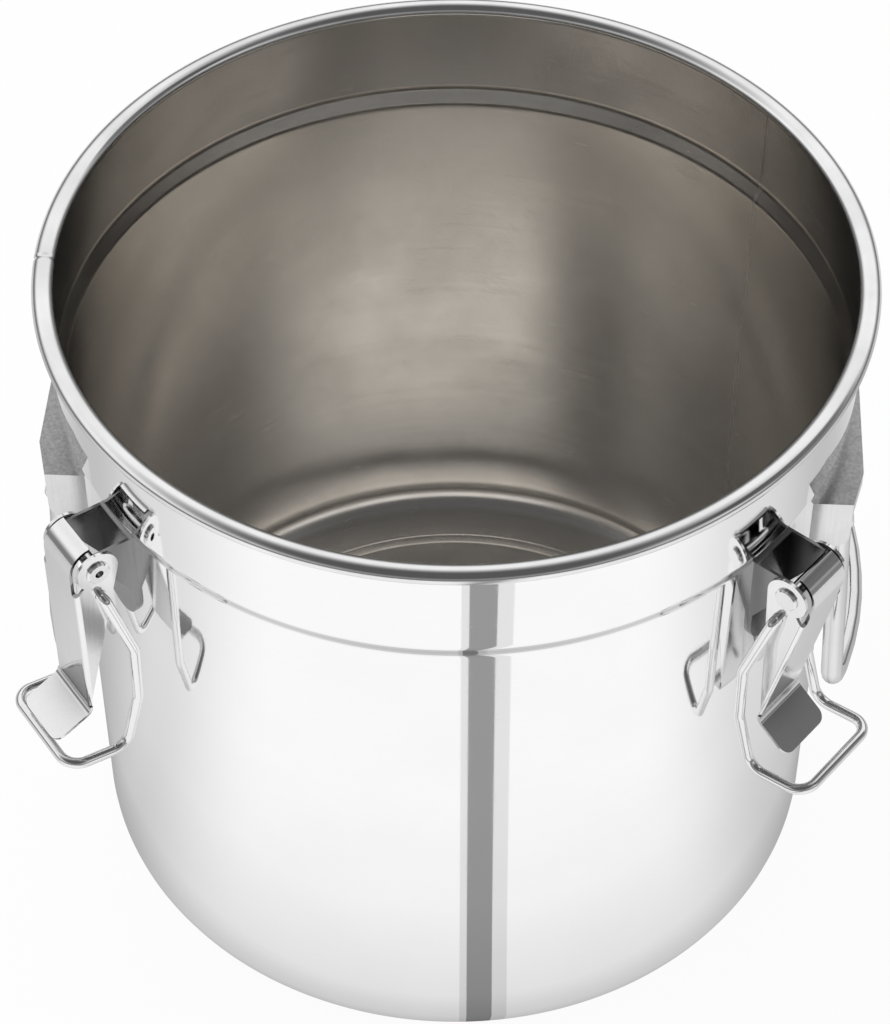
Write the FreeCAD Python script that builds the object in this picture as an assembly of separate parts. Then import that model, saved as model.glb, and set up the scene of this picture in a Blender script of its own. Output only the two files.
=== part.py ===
import FreeCAD, Part
import math
import os

# Round stainless food drum, open at the top. A ring of bent bar stiffens the mouth, a wider collar
# steps in to the body below it, four toggle latches with wire bails stand round the body, and a
# drop handle hangs on either side.
# Millimetres. The origin is the middle of the underside, +Z is up and -Y is the front.
# A stand is a distance out from the body wall, a reach is one out from the drum's axis, and a drop is
# one down: the step's from the middle of the rim ring, and any other from the top of its own bracket.

V = FreeCAD.Vector
UP = V(0, 0, 1)
ACROSS = V(0, 1, 0)
QUARTER_TURN = 90
HALF_TURN = 180
FULL_TURN = 360

# How many flats stand for a round
pan_corner_facets = 3
ring_sides = 10
wire_sides = 6
rod_sides = 8

# How far a cutting shape runs past what it cuts
overrun = 2.0

# Drum
body_radius = 142.5
sheet = 0.8
rim_level = 273.0
collar_flare = 2.9
step_drop = 40.6
step_height = 4.9
pan_height = 24.0
pan_corner_radius = 12.0
stand_ring_inner_radius = 118.0
stand_ring_slope = 6.0
floor_lift = 2.0

# Rim ring
ring_overhang = 0.6
ring_half_width = 3.9
ring_half_height = 2.8
ring_seat_drop = 0.5
ring_seat_clearance = 0.05
ring_joint_width = 0.7
ring_joint_depth = 0.3
ring_joint_azimuth = -88.0

# Latch, pressed from one gauge of sheet
latch_azimuth = 53.0
latch_sheet = 1.2
pivot_stand = 15.0
pivot_drop = 6.7
lever_width = 24.0
ear_clearance = 0.2
barrel_clearance = 0.4

# Latch bracket
bracket_step_gap = 0.8
bracket_height = 44.0
flange_end_radius = 6.2
flange_foot = 27.0
flange_waist = 9.0

# Latch rivet
rivet_radius = 2.45
rivet_clearance = 0.05
rivet_seat_clearance = 0.02
rivet_head_radius = 4.4
rivet_head_height = 1.2
rivet_head_gap = 0.1
rivet_bore_radius = 1.6
rivet_bore_depth = 5.0
rivet_edge_bevel = 0.5

# Latch lever, measured from its pivot
lever_face = 9.5
lever_bend_radius = 1.8
ear_head_radius = 8.0
ear_foot = 64.0
notch_foot = 9.0
barrel_sweep = 85.0
tab_bend_drop = 68.0
tab_bend_radius = 3.0
tab_length = 15.0
tab_rise_from_down = 65.0
tab_corner_radius = 4.0
relaxed_lever_tilt = 12.0

# Wire bail, measured from its hole in the lever's ears
bail_wire_radius = 2.0
bail_hole_clearance = 0.1
bail_hole_drop = 12.0
bail_stub = 0.1
bail_shoulder = 1.0
bail_spread = 5.7
bail_knee_in = 6.4
bail_knee_drop = 25.0
bail_shin_in = 5.9
bail_shin_drop = 50.0
bail_heel_out = 1.0
bail_heel_drop = 74.0
bail_hook_out = 24.5
bail_hook_drop = 71.0
bail_shoulder_bend = 2.5
bail_leg_bend = 10.0
bail_hook_bend = 7.0

# Drop handle bracket
hood_sheet = 1.2
hood_stand = 4.5
hood_end_margin = 0.9
hood_latch_gap = 15.5
hood_end_slope = 16.0
hood_step_gap = 5.5
hood_height = 22.0
hood_lip = 6.0
hood_ear_corner = 6.0

# Drop handle
handle_wall_gap = 0.5
handle_drop = 11.5
handle_rod_radius = 4.0
handle_side_gap = 0.7
handle_eye_radius = 4.7
handle_eye_cheek = 0.3
handle_pin_radius = 2.5
handle_pin_clearance = 0.05
handle_pin_seat_clearance = 0.02
handle_pin_tail = 0.4
grip_stand = 12.0
grip_drop = 93.5
grip_corner_radius = 9.0
grip_corner_run = 10.0

os.makedirs("parts", exist_ok=True)


def save(name, shape):
    shape.exportStep("parts/" + name + ".step")
    print(name, round(shape.Volume), len(shape.Solids), shape.isValid())


def polygon(points):
    return Part.Face(Part.makePolygon(points + [points[0]]))


def round_points(sides):
    """The corners of a polygon in a circle of radius one."""
    turns = [math.radians(FULL_TURN * side / sides) for side in range(sides)]
    return [V(math.cos(turn), math.sin(turn), 0) for turn in turns]


def turned(shape):
    return shape.revolve(V(0, 0, 0), UP, FULL_TURN)


def slab(low, high):
    return Part.makeBox(high.x - low.x, high.y - low.y, high.z - low.z, low)


def across(radius, start, stop):
    """A round bar along Y, between two places on it."""
    return Part.makeCylinder(radius, stop - start, V(0, start, 0), ACROSS)


def drum_core(radius):
    """The space inside a cylinder about the drum's axis, as tall as the drum."""
    return Part.makeCylinder(radius, rim_level)


def bent_bar(corners, bends, radius, sides):
    """A bar along straight runs, turned at each inner corner in an arc of the given radius.

    Its section is a polygon inside the circle, which keeps the faces few.
    """
    start = corners[0]
    heading = (corners[1] - start).normalize()
    aside = V(1, 0, 0).cross(heading).normalize()
    upright = heading.cross(aside)
    rounds = round_points(sides)
    section = polygon([start + (aside * point.x + upright * point.y) * radius for point in rounds])
    area = section.Area
    length = 0
    pieces = []
    for before, corner, after, bend in zip(corners, corners[1:], corners[2:], bends):
        back = (before - corner).normalize()
        ahead = (after - corner).normalize()
        half = math.acos(back.dot(ahead)) / 2
        reach = bend / math.tan(half)
        run = corner + back * reach - start
        pieces.append(section.extrude(run))
        section.translate(run)
        centre = corner + (back + ahead).normalize() * (bend / math.sin(half))
        axis = ahead.cross(back)
        turn = math.pi - half * 2
        pieces.append(section.revolve(centre, axis, math.degrees(turn)))
        section.rotate(centre, axis, math.degrees(turn))
        start = corner + ahead * reach
        length += run.Length + bend * turn
    run = corners[-1] - start
    pieces.append(section.extrude(run))
    length += run.Length
    bar = pieces[0].multiFuse(pieces[1:]).removeSplitter()
    print("bar", round(length, 1), "volume share", round(bar.Volume / (area * length), 4))
    return bar


# Drum
collar_radius = body_radius + collar_flare
ring_radius = collar_radius + ring_overhang
step_top = rim_level - step_drop
step_foot = step_top - step_height
wall_top = rim_level - ring_seat_drop


def side_wall():
    outer = [
        V(body_radius, 0, pan_height),
        V(body_radius, 0, step_foot),
        V(collar_radius, 0, step_top),
        V(collar_radius, 0, wall_top),
    ]
    inner = [point - V(sheet, 0, 0) for point in reversed(outer)]
    return turned(polygon(outer + inner))


def pan_line(thickness):
    """Half section of the pan's outer face, or of its inner face when a thickness is given."""
    corner = pan_corner_radius - thickness
    centre = V(body_radius - pan_corner_radius, 0, pan_corner_radius)
    points = [
        V(0, 0, floor_lift + thickness),
        V(stand_ring_inner_radius - stand_ring_slope, 0, floor_lift + thickness),
        V(stand_ring_inner_radius, 0, thickness),
    ]
    for facet in range(pan_corner_facets + 1):
        turn = math.radians(QUARTER_TURN * facet / pan_corner_facets)
        points.append(centre + V(math.sin(turn), 0, -math.cos(turn)) * corner)
    points.append(V(body_radius - thickness, 0, pan_height))
    return points


def bottom_pan():
    return turned(polygon(pan_line(0) + pan_line(sheet)[::-1]))


def ring_section(shrink):
    """The bar's flattened round."""
    width = ring_half_width - shrink
    height = ring_half_height - shrink
    middle = V(ring_radius, 0, rim_level)
    return polygon([middle + V(corner.x * width, 0, corner.y * height) for corner in round_points(ring_sides)])


def rim_ring():
    """A flattened bar bent into a ring, with a seat for the collar's edge and a butt joint."""
    ring = turned(ring_section(0))
    seat_outer = collar_radius + ring_seat_clearance
    seat_inner = collar_radius - sheet - ring_seat_clearance
    seat_depth = ring_half_height + overrun
    seat_foot = V(0, 0, wall_top - seat_depth)
    seat = Part.makeCylinder(seat_outer, seat_depth, seat_foot)
    seat = seat.cut(Part.makeCylinder(seat_inner, seat_depth, seat_foot))
    kerf_half_width = ring_joint_width / 2
    kerf_half_height = ring_half_height + overrun
    kerf_low = V(0, -kerf_half_width, rim_level - kerf_half_height)
    kerf_high = V(ring_radius + ring_half_width + overrun, kerf_half_width, rim_level + kerf_half_height)
    kerf = slab(kerf_low, kerf_high).cut(turned(ring_section(ring_joint_depth)))
    kerf.rotate(V(0, 0, 0), UP, ring_joint_azimuth - QUARTER_TURN)
    return ring.cut(seat).cut(kerf)


# Latch sizes that follow from the sheet and the running gaps
ear_outer = lever_width / 2
ear_inner = ear_outer - latch_sheet
flange_outer = ear_inner - ear_clearance
flange_inner = flange_outer - latch_sheet
barrel_half_width = flange_inner - barrel_clearance
bracket_top = step_foot - bracket_step_gap
pivot_reach = body_radius + pivot_stand
pivot_level = bracket_top - pivot_drop
pivot = V(pivot_reach, 0, pivot_level)
bail_neck = ear_outer + bail_shoulder + bail_wire_radius
bail_leg = bail_neck + bail_spread
bail_half_width = bail_leg + bail_wire_radius


def latch_bracket():
    """A channel on the body wall: a back plate with a rounded foot, and two flanges for the rivet."""
    back = body_radius - overrun
    plate_face = body_radius + latch_sheet
    foot = bracket_top - bracket_height
    plate = slab(V(back, -flange_outer, foot + flange_outer), V(plate_face, flange_outer, bracket_top))
    toe = Part.makeCylinder(flange_outer, plate_face - back, V(back, 0, foot + flange_outer), V(1, 0, 0))
    side = polygon([
        V(back, 0, bracket_top),
        V(pivot_reach, 0, bracket_top),
        pivot,
        V(plate_face + flange_waist, 0, pivot_level - flange_end_radius),
        V(plate_face, 0, bracket_top - flange_foot),
        V(back, 0, bracket_top - flange_foot),
    ])
    bracket = plate.fuse(toe)
    for start in (-flange_outer, flange_inner):
        flange = side.extrude(ACROSS * latch_sheet)
        flange.translate(ACROSS * start)
        eye = across(flange_end_radius, start, start + latch_sheet)
        eye.translate(pivot)
        bracket = bracket.fuse(flange).fuse(eye)
    hole = across(rivet_radius + rivet_seat_clearance, -ear_outer, ear_outer)
    hole.translate(pivot)
    return bracket.cut(hole).cut(drum_core(body_radius)).removeSplitter()


def latch_rivet():
    """A tubular rivet: a low solid head on one side and a rolled hollow end on the other."""
    seat = ear_outer + rivet_head_gap
    end = seat + rivet_head_height
    rivet = across(rivet_radius, -seat, seat)
    for start in (-end, seat):
        head = across(rivet_head_radius, start, start + rivet_head_height)
        outside = max(head.Edges, key=lambda edge: edge.Length * abs(edge.BoundBox.Center.y))
        rivet = rivet.fuse(head.makeChamfer(rivet_edge_bevel, [outside]))
    rivet = rivet.cut(across(rivet_bore_radius, end - rivet_bore_depth, end + overrun)).removeSplitter()
    rivet.translate(pivot)
    return rivet


def pressed_channel():
    """The lever's U section, open towards the drum, standing from the tab bend to above the pivot."""
    face_inner = lever_face - latch_sheet
    outer = slab(V(-lever_face, -ear_outer, -tab_bend_drop), V(lever_face, ear_outer, lever_face))
    inner = slab(V(-lever_face, -ear_inner, -tab_bend_drop), V(face_inner, ear_inner, lever_face))
    corners = [edge for edge in outer.Edges if is_front_corner(edge, lever_face, ear_outer)]
    return outer.makeFillet(lever_bend_radius, corners).cut(inner)


def is_front_corner(edge, reach, half_width):
    box = edge.BoundBox
    close = rivet_seat_clearance
    upright = box.XLength < close and box.YLength < close
    return upright and abs(box.XMin - reach) < close and abs(abs(box.YMin) - half_width) < close


def ear_outline():
    """Side view of the lever: a round head at the pivot that tapers down to the finger tab."""
    foot = V(lever_face - latch_sheet, 0, -ear_foot)
    slant = math.acos(ear_head_radius / foot.Length)
    heading = math.atan2(foot.z, foot.x) - slant
    tangent = V(ear_head_radius * math.cos(heading), 0, ear_head_radius * math.sin(heading))
    blade = polygon([
        V(0, 0, 0),
        tangent,
        foot,
        V(lever_face - latch_sheet, 0, -tab_bend_drop),
        V(lever_face, 0, -tab_bend_drop),
        V(lever_face, 0, -notch_foot),
    ])
    head = across(ear_head_radius, -ear_outer, ear_outer)
    blade = blade.extrude(ACROSS * lever_width)
    blade.translate(ACROSS * -ear_outer)
    return blade.fuse(head)


def finger_tab():
    """The flared end of the lever, bent out from its face in one arc."""
    turn = math.radians(tab_rise_from_down)
    centre = V(lever_face + tab_bend_radius, 0, -tab_bend_drop)
    near = tab_bend_radius
    far = tab_bend_radius + latch_sheet
    out = V(math.sin(turn), 0, -math.cos(turn))
    normal = V(-math.cos(turn), 0, -math.sin(turn))
    half_normal = V(-math.cos(turn / 2), 0, -math.sin(turn / 2))
    near_start = centre - V(near, 0, 0)
    far_start = centre - V(far, 0, 0)
    near_end = centre + normal * near
    far_end = centre + normal * far
    near_tip = near_end + out * tab_length
    far_tip = far_end + out * tab_length
    edges = [
        Part.Arc(near_start, centre + half_normal * near, near_end).toShape(),
        Part.LineSegment(near_end, near_tip).toShape(),
        Part.LineSegment(near_tip, far_tip).toShape(),
        Part.LineSegment(far_tip, far_end).toShape(),
        Part.Arc(far_end, centre + half_normal * far, far_start).toShape(),
        Part.LineSegment(far_start, near_start).toShape(),
    ]
    tab = Part.Face(Part.Wire(edges)).extrude(ACROSS * lever_width)
    tab.translate(ACROSS * -ear_outer)
    corner = V(near_tip.x, ear_outer, near_tip.z)
    ends = [edge for edge in tab.Edges if is_tab_corner(edge, corner)]
    return tab.makeFillet(tab_corner_radius, ends)


def is_tab_corner(edge, corner):
    """The two short edges through the sheet at the tab's tip."""
    ends = [vertex.Point for vertex in edge.Vertexes]
    mirrored = V(corner.x, -corner.y, corner.z)
    close = rivet_seat_clearance
    at_tip = any(end.distanceToPoint(place) < close for end in ends for place in (corner, mirrored))
    return at_tip and abs(edge.Length - latch_sheet) < close


def barrel():
    """The tongue above the lever's face, rolled round the pivot between the bracket's flanges."""
    inner = lever_face - latch_sheet
    start = V(inner, -barrel_half_width, -notch_foot - latch_sheet)
    tongue = slab(start, V(lever_face, barrel_half_width, 0))
    section = polygon([
        V(inner, -barrel_half_width, 0),
        V(lever_face, -barrel_half_width, 0),
        V(lever_face, barrel_half_width, 0),
        V(inner, barrel_half_width, 0),
    ])
    return tongue.fuse(section.revolve(V(0, 0, 0), -ACROSS, barrel_sweep))


def latch_lever(tilt):
    lever = pressed_channel().common(ear_outline())
    lever = lever.fuse(finger_tab()).fuse(barrel())
    lever = lever.cut(across(rivet_radius + rivet_clearance, -lever_width, lever_width))
    hole = across(bail_wire_radius + bail_hole_clearance, -lever_width, lever_width)
    hole.translate(V(0, 0, -bail_hole_drop))
    lever = lever.cut(hole).removeSplitter()
    lever.rotate(V(0, 0, 0), ACROSS, tilt)
    lever.translate(pivot)
    return lever


def bail_hole(tilt):
    """Where the bail turns in the lever's ears."""
    turn = math.radians(tilt)
    return pivot - V(math.sin(turn), 0, math.cos(turn)) * bail_hole_drop


def wire_bail(tilt):
    """One bent wire, sprung into both ears and hanging with its hook turned out."""
    half = [
        V(0, ear_inner - bail_stub, 0),
        V(0, bail_neck, 0),
        V(-bail_knee_in, bail_leg, -bail_knee_drop),
        V(-bail_shin_in, bail_leg, -bail_shin_drop),
        V(bail_heel_out, bail_leg, -bail_heel_drop),
        V(bail_hook_out, bail_leg, -bail_hook_drop),
    ]
    bends = [bail_shoulder_bend, bail_leg_bend, bail_leg_bend, bail_hook_bend, bail_hook_bend]
    other = [V(point.x, -point.y, point.z) for point in reversed(half)]
    bail = bent_bar(half + other, bends + bends[::-1], bail_wire_radius, wire_sides)
    bail.translate(bail_hole(tilt))
    return bail


# Handle sizes that follow from the drum, the room beside the latches and the hood
latch_turn = math.radians(latch_azimuth)
latch_near_side = pivot_reach * math.cos(latch_turn) - bail_half_width * math.sin(latch_turn)
hood_half_length = latch_near_side - hood_latch_gap
hood_top = step_foot - hood_step_gap
hood_foot = hood_top - hood_height
hood_plate_radius = body_radius + hood_sheet
handle_level = hood_top - handle_drop
handle_leg = hood_half_length - hood_sheet - handle_side_gap - handle_rod_radius
eye_half_width = handle_rod_radius + handle_eye_cheek
eye_seat_reach = math.sqrt(hood_plate_radius**2 - (handle_leg - eye_half_width) ** 2)
handle_reach = eye_seat_reach + handle_wall_gap + handle_eye_radius
hood_end_face = handle_reach + handle_pin_radius + hood_end_margin
hood_face = body_radius + hood_stand
hood_flat_half_length = hood_half_length - hood_end_slope
grip_radius = body_radius + grip_stand
grip_level = handle_level - grip_drop


def hood_block(inset, foot, top):
    """The hood's plan, drawn in by an inset, as a block that reaches in to the drum's axis."""
    half = [
        V(0, hood_half_length - inset, 0),
        V(hood_end_face - inset, hood_half_length - inset, 0),
        V(hood_face - inset, hood_flat_half_length - inset / 2, 0),
    ]
    other = [V(point.x, -point.y, 0) for point in reversed(half)]
    block = polygon(half + other).extrude(UP * (top - foot))
    block.translate(UP * foot)
    return block


def handle_bracket():
    """A pressed hood on the body wall, open below, whose end walls are the handle's ears."""
    hood = hood_block(0, hood_foot, hood_top)
    ears = [edge for edge in hood.Edges if is_ear_corner(edge)]
    hood = hood.makeFillet(hood_ear_corner, ears)
    hollow = hood_block(hood_sheet, hood_foot - overrun, hood_top - hood_sheet).cut(drum_core(hood_plate_radius))
    inside = hood_half_length - hood_sheet
    mouth = slab(V(0, -inside, hood_foot - overrun), V(hood_face + overrun, inside, hood_top - hood_lip))
    hood = hood.cut(hollow).cut(mouth.cut(drum_core(hood_plate_radius)))
    for start, stop in ((inside, hood_half_length), (-hood_half_length, -inside)):
        hole = across(handle_pin_radius + handle_pin_seat_clearance, start, stop)
        hole.translate(V(handle_reach, 0, handle_level))
        hood = hood.cut(hole)
    return hood.cut(drum_core(body_radius)).removeSplitter()


def is_ear_corner(edge):
    """The lower edge of each end wall, out from the drum: rounded so that it catches nothing."""
    box = edge.BoundBox
    close = handle_pin_seat_clearance
    low = abs(box.ZMax - hood_foot) < close
    slanted = box.XMin > hood_end_face - close and box.YLength > close and box.XLength > close
    return low and slanted


def handle_pins():
    """Two flush pins that carry the handle's eyes in the hood's end walls."""
    inner = handle_leg - eye_half_width - handle_pin_tail
    near = across(handle_pin_radius, -hood_half_length, -inner)
    far = across(handle_pin_radius, inner, hood_half_length)
    pins = Part.makeCompound([near, far])
    pins.translate(V(handle_reach, 0, handle_level))
    return pins


def drop_handle():
    """A bent rod whose grip follows the curve of the drum, with an eye at the top of each leg."""
    bow = math.asin(handle_leg / math.hypot(grip_radius, grip_corner_run))
    bow = bow - math.atan2(grip_corner_run, grip_radius)
    grip_end = V(grip_radius * math.cos(bow), grip_radius * math.sin(bow), grip_level)
    corner = grip_end + V(-math.sin(bow), math.cos(bow), 0) * grip_corner_run
    crown = V(grip_radius / math.cos(bow), 0, grip_level)
    eye_middle = V(handle_reach, corner.y, handle_level)
    top = eye_middle + (corner - eye_middle).normalize() * handle_pin_radius
    corners = [top, corner, crown, across_plane(corner), across_plane(top)]
    bends = [grip_corner_radius, grip_radius, grip_corner_radius]
    handle = bent_bar(corners, bends, handle_rod_radius, rod_sides)
    for side in (-1, 1):
        middle = side * handle_leg
        eye = across(handle_eye_radius, middle - eye_half_width, middle + eye_half_width)
        eye.translate(V(handle_reach, 0, handle_level))
        handle = handle.fuse(eye)
    hole = across(handle_pin_radius + handle_pin_clearance, -hood_half_length, hood_half_length)
    hole.translate(V(handle_reach, 0, handle_level))
    return handle.cut(hole).removeSplitter()


def across_plane(point):
    return V(point.x, -point.y, point.z)


def placed(shape, azimuth):
    """Turn a piece from +X to its azimuth, which counts from the front towards +X."""
    copy = shape.copy()
    copy.rotate(V(0, 0, 0), UP, azimuth - QUARTER_TURN)
    return copy


save("side_wall", side_wall())
save("bottom_pan", bottom_pan())
save("rim_ring", rim_ring())

# The front right lever hangs in against the drum, and the others stand straight down
latches = {
    "front_right": (latch_azimuth, relaxed_lever_tilt),
    "front_left": (-latch_azimuth, 0),
    "rear_right": (HALF_TURN - latch_azimuth, 0),
    "rear_left": (latch_azimuth - HALF_TURN, 0),
}
bracket_shape = latch_bracket()
rivet_shape = latch_rivet()
for place, (azimuth, tilt) in latches.items():
    save("latch_bracket_" + place, placed(bracket_shape, azimuth))
    save("latch_rivet_" + place, placed(rivet_shape, azimuth))
    save("latch_lever_" + place, placed(latch_lever(tilt), azimuth))
    save("wire_bail_" + place, placed(wire_bail(tilt), azimuth))
    print(place, "hole", placed(Part.Vertex(bail_hole(tilt)), azimuth).Point)
    print(place, "pivot", placed(Part.Vertex(pivot), azimuth).Point)

hood_shape = handle_bracket()
pins_shape = handle_pins()
handle_shape = drop_handle()
for place, azimuth in {"right": QUARTER_TURN, "left": -QUARTER_TURN}.items():
    save("handle_bracket_" + place, placed(hood_shape, azimuth))
    save("handle_pins_" + place, placed(pins_shape, azimuth))
    save("drop_handle_" + place, placed(handle_shape, azimuth))
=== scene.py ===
# %% [markdown]
# # A round steel storage drum
# The drum is one rolled sheet with a pressed bottom, a bar bent round its mouth, four wire latches and
# two drop handles. Its solids come from the frame, in metres, and stay where they are. This lesson
# replaces the few that have flats where the real metal is round, gives every surface its steel, and
# sets the drum on a pale studio floor.

# %% Load the frame
import math
import bmesh
import bpy
from mathutils import Matrix, Vector


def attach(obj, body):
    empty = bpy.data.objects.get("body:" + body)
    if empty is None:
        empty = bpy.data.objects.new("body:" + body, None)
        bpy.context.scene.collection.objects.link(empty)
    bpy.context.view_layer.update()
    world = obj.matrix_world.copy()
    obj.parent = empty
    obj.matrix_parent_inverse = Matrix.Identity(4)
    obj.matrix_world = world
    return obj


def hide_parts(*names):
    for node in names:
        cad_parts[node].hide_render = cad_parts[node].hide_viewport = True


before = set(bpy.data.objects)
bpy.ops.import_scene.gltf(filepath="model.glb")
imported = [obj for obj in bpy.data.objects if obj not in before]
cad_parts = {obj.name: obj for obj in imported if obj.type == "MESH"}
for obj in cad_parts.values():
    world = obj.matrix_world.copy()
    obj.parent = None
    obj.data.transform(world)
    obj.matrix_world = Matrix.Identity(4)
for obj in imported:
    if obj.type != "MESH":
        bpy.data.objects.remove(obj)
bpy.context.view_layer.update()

# %% [markdown]
# ## The camera
# The picture looks down into the mouth from a little over a metre away. The rim's ellipse gives the
# height of the eye and the distance, and the two latches give the turn about the drum. A Track To
# constraint could aim the camera, but plain angles say more clearly how it stands. It aims a little
# below the rim's middle, so that no lens shift is needed.

# %% Place the camera
RIM_LEVEL = 0.273
EYE_DISTANCE = 1.095
EYE_ELEVATION = math.radians(42.831)
EYE_AZIMUTH = math.radians(2.7)
EYE_PITCH = math.radians(47.404)
EYE_YAW = math.radians(0.286)
LENS = 108.44
SENSOR_WIDTH = 36.0

camera_data = bpy.data.cameras.new("photo_camera")
camera_data.lens = LENS
camera_data.sensor_width = SENSOR_WIDTH
camera = bpy.data.objects.new("photo_camera", camera_data)
bpy.context.scene.collection.objects.link(camera)
ground_run = EYE_DISTANCE * math.cos(EYE_ELEVATION)
camera.location = (
    ground_run * math.sin(EYE_AZIMUTH),
    -ground_run * math.cos(EYE_AZIMUTH),
    RIM_LEVEL + EYE_DISTANCE * math.sin(EYE_ELEVATION),
)
camera.rotation_euler = (math.pi / 2 - EYE_PITCH, 0, EYE_AZIMUTH + EYE_YAW)
bpy.context.scene.camera = camera
print("camera at", [round(value, 3) for value in camera.location])

# %% [markdown]
# ## Rounded corners
# Sheet and wire are never bent to a sharp corner, so every line in this lesson is drawn with its
# corners first, and each corner then becomes an arc. Blender's Bevel modifier can round a finished
# mesh, but rounding the line first keeps the number of points on each arc under control.

# %% Round the corners of a line


def swung(start, stop, share):
    """The spoke of an arc at a share of the way between its first and last spokes."""
    sweep = start.angle(stop)
    return (start * math.sin((1 - share) * sweep) + stop * math.sin(share * sweep)) / math.sin(sweep)


def corner_arc(before, corner, after, radius, steps, step_turn=None):
    """The points of an arc that takes the place of a corner."""
    back = (before - corner).normalized()
    ahead = (after - corner).normalized()
    half = back.angle(ahead) / 2
    centre = corner + (back + ahead).normalized() * (radius / math.sin(half))
    start = corner + back * (radius / math.tan(half)) - centre
    stop = corner + ahead * (radius / math.tan(half)) - centre
    if step_turn:
        steps = max(steps, int(start.angle(stop) / step_turn))
    return [centre + swung(start, stop, step / steps) for step in range(steps + 1)]


def rounded(points, radii, steps=6):
    """A line of points in the half section, with an arc at each corner that has a radius."""
    spots = [Vector(point) for point in points]
    line = []
    for index, radius in enumerate(radii):
        if radius:
            line += corner_arc(spots[index - 1], spots[index], spots[index + 1], radius, steps)
        else:
            line.append(spots[index])
    return line


print("one rounded corner has", len(rounded([(0, 1), (0, 0), (1, 0)], [0, 0.2, 0])) - 2, "points")

# %% [markdown]
# ## Turned shapes
# The wall, the bottom and the rim are all turned about the drum's axis. The Screw modifier could turn
# a profile, but here the rings of points are laid in bmesh, because each face can then be given its
# own finish: the outside of the sheet is polished bright, and the inside is satin.

# %% Turn a line about the axis
ROUND_STEPS = 256
SAME_POINT = 1e-7
SHARP_EDGE = math.radians(40)


def turned(name, line, finish_of=None):
    """A closed line in the half section turned about the drum's axis, as smooth faces."""
    mesh = bpy.data.meshes.new(name)
    work = bmesh.new()
    rings = []
    for step in range(ROUND_STEPS):
        turn = 2 * math.pi * step / ROUND_STEPS
        spot = Vector((math.cos(turn), math.sin(turn), 0))
        rings.append([work.verts.new(spot * point[0] + Vector((0, 0, point[1]))) for point in line])
    for step in range(ROUND_STEPS):
        near, far = rings[step], rings[(step + 1) % ROUND_STEPS]
        for span in range(len(line)):
            after = (span + 1) % len(line)
            face = work.faces.new((near[span], far[span], far[after], near[after]))
            face.smooth = True
            if finish_of:
                face.material_index = finish_of(span)
    bmesh.ops.remove_doubles(work, verts=work.verts, dist=SAME_POINT)
    bmesh.ops.dissolve_degenerate(work, edges=work.edges, dist=SAME_POINT)
    bmesh.ops.recalc_face_normals(work, faces=work.faces)
    for edge in work.edges:
        if len(edge.link_faces) == 2 and edge.calc_face_angle() > SHARP_EDGE:
            edge.smooth = False
    work.to_mesh(mesh)
    work.free()
    return mesh


print("a full turn has", ROUND_STEPS, "steps")

# %% [markdown]
# ## Standing in for a solid
# A new piece takes the place of one solid of the frame. It rides on the solid's body, so that it swings
# with it, and it hides the solid.

# %% Put a piece in a solid's place


def place(name, mesh, body, node, slot):
    """A mesh put in the scene as the piece that stands for a solid of the frame."""
    piece = bpy.data.objects.new(name, mesh)
    bpy.context.scene.collection.objects.link(piece)
    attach(piece, body)
    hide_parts(node)
    return piece


# %% [markdown]
# ## The wall
# A sheet 0.8 mm thick is rolled into a drum, and the part above the step is swaged out to a collar.
# The solid has two sharp bends there. Real sheet bends in a soft curve, and on polished steel that
# curve draws the thin grey line under the rim, so the bends get a radius here. The wall's steel also
# paints a band of shade on the bend, to deepen that line.

# %% Turn the wall
SHEET = 0.0008
BODY_RADIUS = 0.1425
COLLAR_RADIUS = 0.1454
PAN_HEIGHT = 0.024
STEP_FOOT = 0.2280
STEP_TOP = 0.2345
STEP_BEND = 0.007
WALL_TOP = 0.2725

wall_corners = [
    (BODY_RADIUS, PAN_HEIGHT),
    (BODY_RADIUS, STEP_FOOT),
    (COLLAR_RADIUS, STEP_TOP),
    (COLLAR_RADIUS, WALL_TOP),
]
wall_bends = [0, STEP_BEND, STEP_BEND, 0]
wall_outside = rounded(wall_corners, wall_bends)
wall_inside = rounded([(radius - SHEET, level) for radius, level in wall_corners], wall_bends)
OUTSIDE, INSIDE, COLLAR = 0, 1, 2


def wall_finish(span):
    """The line runs up the outside and over the edge, and comes down inside by the collar first."""
    if span == len(wall_outside):
        return COLLAR
    return OUTSIDE if span < len(wall_outside) else INSIDE


wall_mesh = turned("drum_wall", wall_outside + wall_inside[::-1], wall_finish)
drum_wall = place("drum_wall", wall_mesh, "drum", "side_wall", "polished_steel")
print("wall faces", len(wall_mesh.polygons))

# %% [markdown]
# ## The bottom
# The bottom is pressed from the same sheet, with a rounded corner, a standing ring and a floor raised
# inside the ring. It is butted to the wall and the seam is ground flush, so the polish runs over it.
# A disc with a Solidify modifier would come close, but two drawn lines keep the corner's inside and
# outside on the same centre, as pressing does.

# %% Turn the bottom
PAN_CORNER = 0.012
PAN_STEPS = 10
RING_INNER = 0.118
RING_SLOPE = 0.006
FLOOR_LIFT = 0.002
FLOOR_BEND = 0.004


def pan_line(thickness):
    corners = [
        (0, FLOOR_LIFT + thickness),
        (RING_INNER - RING_SLOPE, FLOOR_LIFT + thickness),
        (RING_INNER, thickness),
        (BODY_RADIUS - thickness, thickness),
        (BODY_RADIUS - thickness, PAN_HEIGHT),
    ]
    return rounded(corners, [0, FLOOR_BEND, FLOOR_BEND, PAN_CORNER - thickness, 0], PAN_STEPS)


pan_outside = pan_line(0)
pan_inside = pan_line(SHEET)
pan_mesh = turned("drum_bottom", pan_outside + pan_inside[::-1],
                  lambda span: OUTSIDE if span < len(pan_outside) else INSIDE)
drum_bottom = place("drum_bottom", pan_mesh, "drum", "bottom_pan", "polished_steel")
print("bottom faces", len(pan_mesh.polygons))

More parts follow.
